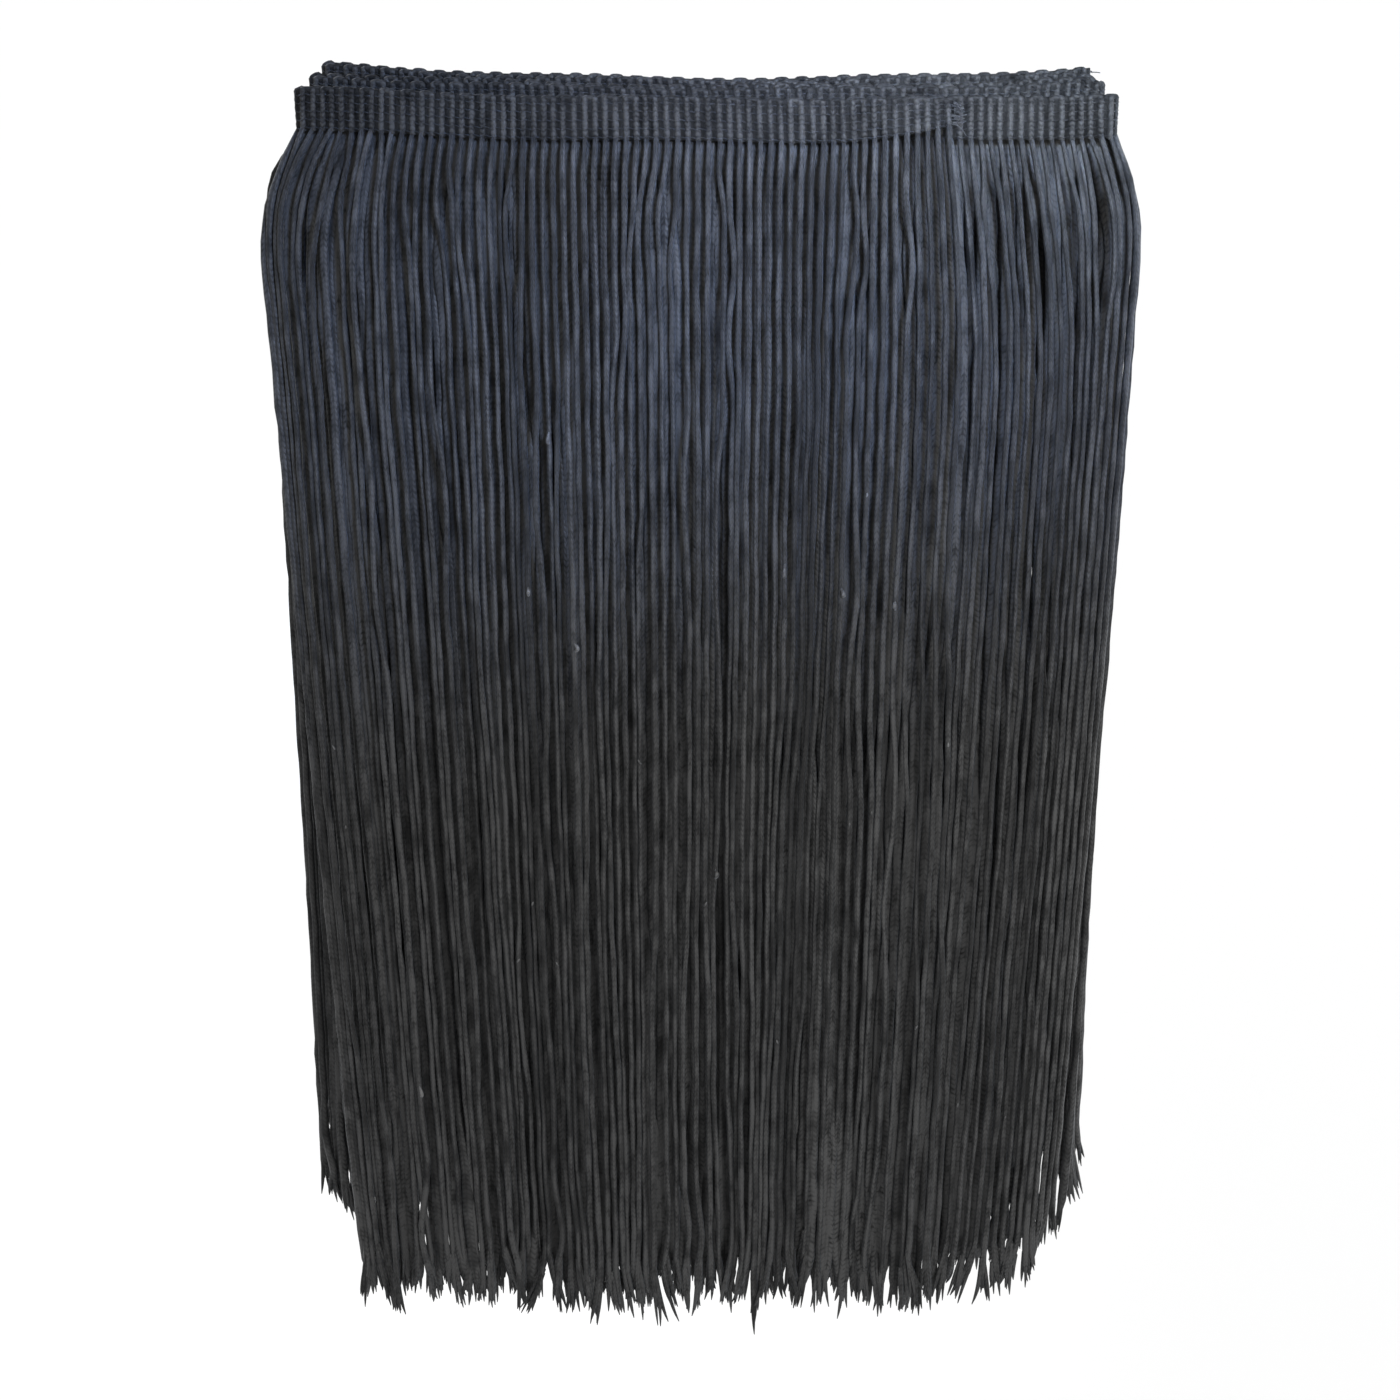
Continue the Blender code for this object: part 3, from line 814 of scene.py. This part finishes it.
cord_tone = random.normal(*CORD_TONE, RIBS) + TONE_SHARED * shared_drift(window=7)
# painted light: cords inside the stack, seen through the gaps, are painted lighter to lift the shade
# there
cord_tone = cord_tone + INSIDE_PAINTED_LIGHT * hidden
# painted light: paler towards the ends, for the light the floor throws up onto the hem
paler = 1.0 + HEM_PAINTED_LIGHT * ramp(falls, HEM_LIGHT_FROM, 1.0)
at_root = TONE_ROOT * ramp(hidden, 0.0, 0.5) - TONE_ROOT_LESS
paler = paler + np.exp(-falls / ROOT_FADE) * at_root[:, None]
mottle = 1.0 + MOTTLE * np.random.default_rng(MOTTLE_SEED).normal(0.0, 1.0, (RIBS, CORD_RINGS))
cord_tone = np.clip(cord_tone[:, None] * paler * mottle, *TONE_RANGE)
facing = lifted(root_normal, np.zeros(RIBS))[:, None, :]
chainette = yarn_material(
    "black chainette", (0.004, 0.004, 0.004), (0.034, 0.034, 0.034),
    wales=4.0, stitches=1.0 / CORD_STITCH, relief=0.00012, sheen=0.05,
)
for number, members in enumerate(np.array_split(np.arange(RIBS), CORD_PIECES), start=1):
    cords = strand_mesh(
        f"fringe_cords_{number}", cord_path[members], facing[members],
        CORD_WIDE * (size * flattened)[members], CORD_DEEP * (size * bunched)[members], CORD_SIDES,
        cord_tone[members], CORD_SHADED_FLANK, chainette, turned[members],
    )
    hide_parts("fringe")

# ==== cut ends ================================================================
# The cords are cut and not finished, so the last centimetre of each opens into a brush of small
# pointed tufts of its yarn, which lie close together and differ in length.

TUFTS = 5                    # to a cord
TUFT_SIDES = 5
TUFT_RINGS = 8
TUFT_HALF_WIDTH = 0.00050
TUFT_UNEVEN = (0.80, 1.15)
TUFT_TIP = 0.00012
TUFT_FLAT = 0.8              # half depth beside half width
# painted shade: share of a tuft's tone left on its flanks
TUFT_SHADED_FLANK = 0.4
TUFT_INSIDE = 0.0120         # each tuft starts about this far up inside its cord,
INSIDE_UNEVEN = (0.5, 1.2)
TUFT_PAST = (0.0002, 0.0048)     # and reaches this far past its end,
LONG_TUFTS = 0.04            # with this share of them still longer
LONG_TUFT_MORE = (0.001, 0.004)
SPOT_UNEVEN = 0.25           # in half widths of the brush,
BRUSH_START = 0.00030        # which opens from this half width
BRUSH_OPENS = 0.00070        # by this much
TUFT_BEND = 0.0006

owner = np.repeat(np.arange(RIBS), TUFTS)
each = (owner.size, 1)
tip = cord_path[owner, -1]
steps = np.linspace(0.0, 1.0, TUFT_RINGS)
spot = np.tile(np.linspace(-1.0, 1.0, TUFTS), RIBS) + random.normal(0.0, SPOT_UNEVEN, owner.size)
buried = TUFT_INSIDE * random.uniform(*INSIDE_UNEVEN, each)
reach = buried + random.uniform(*TUFT_PAST, each)
reach = reach + (random.random(each) < LONG_TUFTS) * random.uniform(*LONG_TUFT_MORE, each)
start = tip[:, 2:] + buried
root = cord_path[owner, 0, 2:]
ring_at = ((root - start) / (root - tip[:, 2:]))[:, 0] ** (1.0 / RING_POWER) * (CORD_RINGS - 1)
ring_low = ring_at.astype(int)
ring_share = (ring_at - ring_low)[:, None]
begin = plan[owner, ring_low] * (1.0 - ring_share) + plan[owner, ring_low + 1] * ring_share
open_out = spot[:, None] * (BRUSH_START + BRUSH_OPENS * steps)
depth_out = random.normal(0.0, TUFT_BEND, each) * steps
bend = random.normal(0.0, TUFT_BEND, each) * steps**3
along = (tip[:, :2] - begin)[:, None, :] * steps[:, None] * (reach / buried)[:, None]
xy = begin[:, None, :] + along + root_along[owner][:, None, :] * (open_out + bend)[..., None]
xy = xy + root_normal[owner][:, None, :] * depth_out[..., None]
thick = TUFT_HALF_WIDTH * random.uniform(*TUFT_UNEVEN, each) * (1.0 - steps**4) + TUFT_TIP
fringe_ends = strand_mesh(
    "fringe_ends", lifted(xy, start - reach * steps), facing[owner], thick, thick * TUFT_FLAT,
    TUFT_SIDES, cord_tone[owner][:, -1:], TUFT_SHADED_FLANK, chainette,
)
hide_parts("fringe")

# ==== snags and lint ==========================================================
# Handling pulls small loops of yarn out of the outermost cords, and short bits of fibre cling to
# them. Both stand free of the cords and catch the light, painted in as a paler colour.

SNAG_SEED = 31
SNAGS = 18
LINT = 26
SNAG_SIDES = 6
SNAG_BENDS = 9
OUTERMOST = 0.95             # depth share from which a row is an outer one
SNAG_RINGS = (16, 60)        # the cords' rings that they may sit at
SNAG_SPAN = (0.0016, 0.0034)
SNAG_BULGE = (0.0006, 0.0014)
SNAG_HALF = 0.00050
LINT_SPAN = 0.0011
LINT_BULGE = 0.0002
LINT_HALF = 0.00026
LINT_SLANT = 0.4
SNAG_HALF_DEEP = 0.00032
SNAG_THIN = 0.4              # share of the thickness that is left at both ends
SNAG_ASIDE = 0.0005
SNAG_SAG = 0.3
SNAG_SEAT = 0.7              # share of a cord's half depth at which they are rooted
SNAG_TONE = (0.35, 1.0)
# painted shade: share of a snag's tone left on its flanks
SNAG_SHADED_FLANK = 0.7
FREE_FIBRE_STITCH = 0.0012

random = np.random.default_rng(SNAG_SEED)
outermost = np.flatnonzero((np.abs(share) > OUTERMOST) | (alone > 0.5))
cord = random.choice(outermost, SNAGS + LINT, replace=False)
is_snag = (np.arange(cord.size) < SNAGS)[:, None]
each = is_snag.shape
base = cord_path[cord, random.integers(*SNAG_RINGS, cord.size)]
bend = np.linspace(-1.0, 1.0, SNAG_BENDS)
rise = 1.0 - bend**2
span = np.where(is_snag, random.uniform(*SNAG_SPAN, each), LINT_SPAN)
bulge = np.where(is_snag, random.uniform(*SNAG_BULGE, each), LINT_BULGE)
aside = random.normal(0.0, SNAG_ASIDE, each) * np.where(is_snag, rise, LINT_SLANT * bend)
stand = np.sign(share[cord])[:, None] * (SNAG_SEAT * CORD_DEEP + bulge * rise)
z = base[:, 2:] - span * bend / 2.0 + SNAG_SAG * span * rise * random.uniform(-1.0, 1.0, each)
fullness = SNAG_THIN + (1.0 - SNAG_THIN) * rise
# painted light: loose fibre is given a paler colour than the cords for the light it catches
lit_fibre = yarn_material(
    "lit free fibre", (0.014, 0.014, 0.014), (0.080, 0.080, 0.080),
    wales=1.0, stitches=1.0 / FREE_FIBRE_STITCH, relief=0.00003, sheen=0.10,
)
fringe_snags = strand_mesh(
    "fringe_snags", np.stack([base[:, :1] + aside, base[:, 1:2] + stand, z], axis=-1),
    (0.0, -1.0, 0.0), np.where(is_snag, SNAG_HALF, LINT_HALF) * fullness, SNAG_HALF_DEEP * fullness,
    SNAG_SIDES, random.uniform(*SNAG_TONE, each), SNAG_SHADED_FLANK, lit_fibre,
)

# ==== raw ends of the tape ====================================================
# Both ends of the length are cut and not sewn, so fine threads stand out of the braid there, from
# half a millimetre to three long, and droop a little.

THREADS = 26                 # at each end
THREAD_SIDES = 4
THREAD_RINGS = 7
THREAD_HALF = 0.00012
THREAD_LONG = (0.0005, 0.0030)
THREAD_INSIDE = 0.3          # share of that length which lies inside the braid besides
THREAD_HEIGHTS = (0.03, 0.97)    # shares of the tape's height
THREAD_BEND = 0.0006
THREAD_ASIDE = (-0.0004, 0.0004)
THREAD_DROOP = (-0.3, 0.9)   # as a share of the length
THREAD_TONE = (0.0, 0.30)
# painted shade: share of a thread's tone left on its flanks
THREAD_SHADED_FLANK = 0.8

end_sign = np.repeat([-1.0, 1.0], THREADS)
each = (end_sign.size, 1)
plan, normal, top, bottom, forward = along_tape(np.where(end_sign < 0.0, 0.0, TRIM_LENGTH))
height = random.uniform(*THREAD_HEIGHTS, end_sign.size)
outwards = np.stack([normal[:, 1], -normal[:, 0]], axis=-1) * end_sign[:, None]
run = np.linspace(-THREAD_INSIDE, 1.0, THREAD_RINGS)
long = random.uniform(*THREAD_LONG, each)
aside = random.normal(0.0, THREAD_BEND, each) * run**2 + random.uniform(*THREAD_ASIDE, each)
xy = plan[:, None, :] + outwards[:, None, :] * (long * run)[..., None]
xy = xy + normal[:, None, :] * aside[..., None]
xy[..., 1] -= curl_at(forward, height)[:, None]
z = (bottom + (top - LOOP_HEIGHT - bottom) * height)[:, None]
z = z - long * run**2 * random.uniform(*THREAD_DROOP, each)
# painted light: the threads take the paler colour of free fibre
heading_threads = strand_mesh(
    "heading_threads", lifted(xy, z), (0.0, 0.0, 1.0), THREAD_HALF, THREAD_HALF, THREAD_SIDES,
    random.uniform(*THREAD_TONE, each), THREAD_SHADED_FLANK, lit_fibre,
)

# ==== floor, light and camera =================================================
# A pale floor well below the hanging trim and a bright even surround. From the upper right four
# narrow cool lights graze the upper cords, and a pale blue one and a warm one the heading. A soft
# light fills in from the front, and its mirror image from the back.

FLOOR_BELOW = 0.45
FLOOR_REACH = 6.0
FLOOR_COLOUR = (0.93, 0.93, 0.93, 1.0)
FLOOR_ROUGH = 0.9
floor = bpy.data.objects.new("floor", bpy.data.meshes.new("floor"))
floor.data.from_pydata(
    [(x * FLOOR_REACH, y * FLOOR_REACH, cad_low[2] - FLOOR_BELOW)
     for x, y in ((-1, -1), (1, -1), (1, 1), (-1, 1))],
    [], [(0, 1, 2, 3)],
)
paper = bpy.data.materials.new("pale floor")
paper.use_nodes = True
sockets = paper.node_tree.nodes["Principled BSDF"].inputs
sockets["Base Color"].default_value = FLOOR_COLOUR
sockets["Roughness"].default_value = FLOOR_ROUGH
floor.data.materials.append(paper)
bpy.context.scene.collection.objects.link(floor)

SURROUND = 1.08
world = bpy.data.worlds.new("studio")
world.use_nodes = True
sockets = world.node_tree.nodes["Background"].inputs
sockets["Color"].default_value = (1.0, 1.0, 1.0, 1.0)
sockets["Strength"].default_value = SURROUND
bpy.context.scene.world = world

COOL = (0.40, 0.57, 1.0)
PALE = (0.80, 0.91, 1.0)
WARM = (1.0, 0.96, 0.88)
WHITE = (1.0, 1.0, 1.0)
ABOVE = (0.20, -0.46, 0.26)
FILL_FRONT = (0.32, -0.46, 0.06)
FILL_BACK = (-0.32, 0.46, 0.06)
# name, place, where it is aimed, size, spread in degrees, power, colour
LAMPS = (
    ("cool_1", ABOVE, (0.090, -0.02, -0.012), 0.09, 10.0, 114.0, COOL),
    ("cool_2", ABOVE, (0.040, -0.02, -0.012), 0.09, 10.0, 78.0, COOL),
    ("cool_3", ABOVE, (-0.008, -0.02, -0.014), 0.09, 10.0, 72.0, COOL),
    ("cool_4", ABOVE, (-0.060, -0.02, -0.026), 0.09, 9.5, 105.0, COOL),
    ("top_1", ABOVE, (0.088, -0.02, 0.022), 0.05, 9.0, 86.0, PALE),
    ("top_2", ABOVE, (0.026, -0.02, 0.022), 0.05, 8.0, 40.0, WARM),
    ("front_fill", FILL_FRONT, (0.085, -0.03, -0.17), 0.15, 46.0, 20.5, WHITE),
    ("back_fill", FILL_BACK, (-0.085, 0.03, -0.17), 0.15, 46.0, 20.5, WHITE),
)
for name, place, target, lamp_size, spread, power, colour in LAMPS:
    lamp = bpy.data.objects.new(name, bpy.data.lights.new(name, "SPOT"))
    lamp.data.shadow_soft_size = lamp_size
    lamp.data.spot_size = np.radians(spread)
    lamp.data.spot_blend = 1.0
    lamp.data.energy = power
    lamp.data.color = colour
    lamp.location = place
    aim = np.array(target) - np.array(place)
    tilt = np.arccos(-aim[2] / np.linalg.norm(aim))
    turn = np.arctan2(aim[1], aim[0]) - np.pi / 2
    lamp.rotation_euler = (float(tilt), 0.0, float(turn))
    bpy.context.scene.collection.objects.link(lamp)

CAMERA_PLACE = (0.0, -0.631, 0.143)
CAMERA_DOWN = 25.3           # degrees
camera = bpy.data.objects.new("camera", bpy.data.cameras.new("camera"))
camera.data.lens = 72.0
camera.data.sensor_width = 36.0
camera.location = CAMERA_PLACE
camera.rotation_euler = (np.radians(90.0 - CAMERA_DOWN), 0.0, 0.0)
bpy.context.scene.collection.objects.link(camera)
bpy.context.scene.camera = camera
bpy.context.scene.view_settings.view_transform = "Standard"
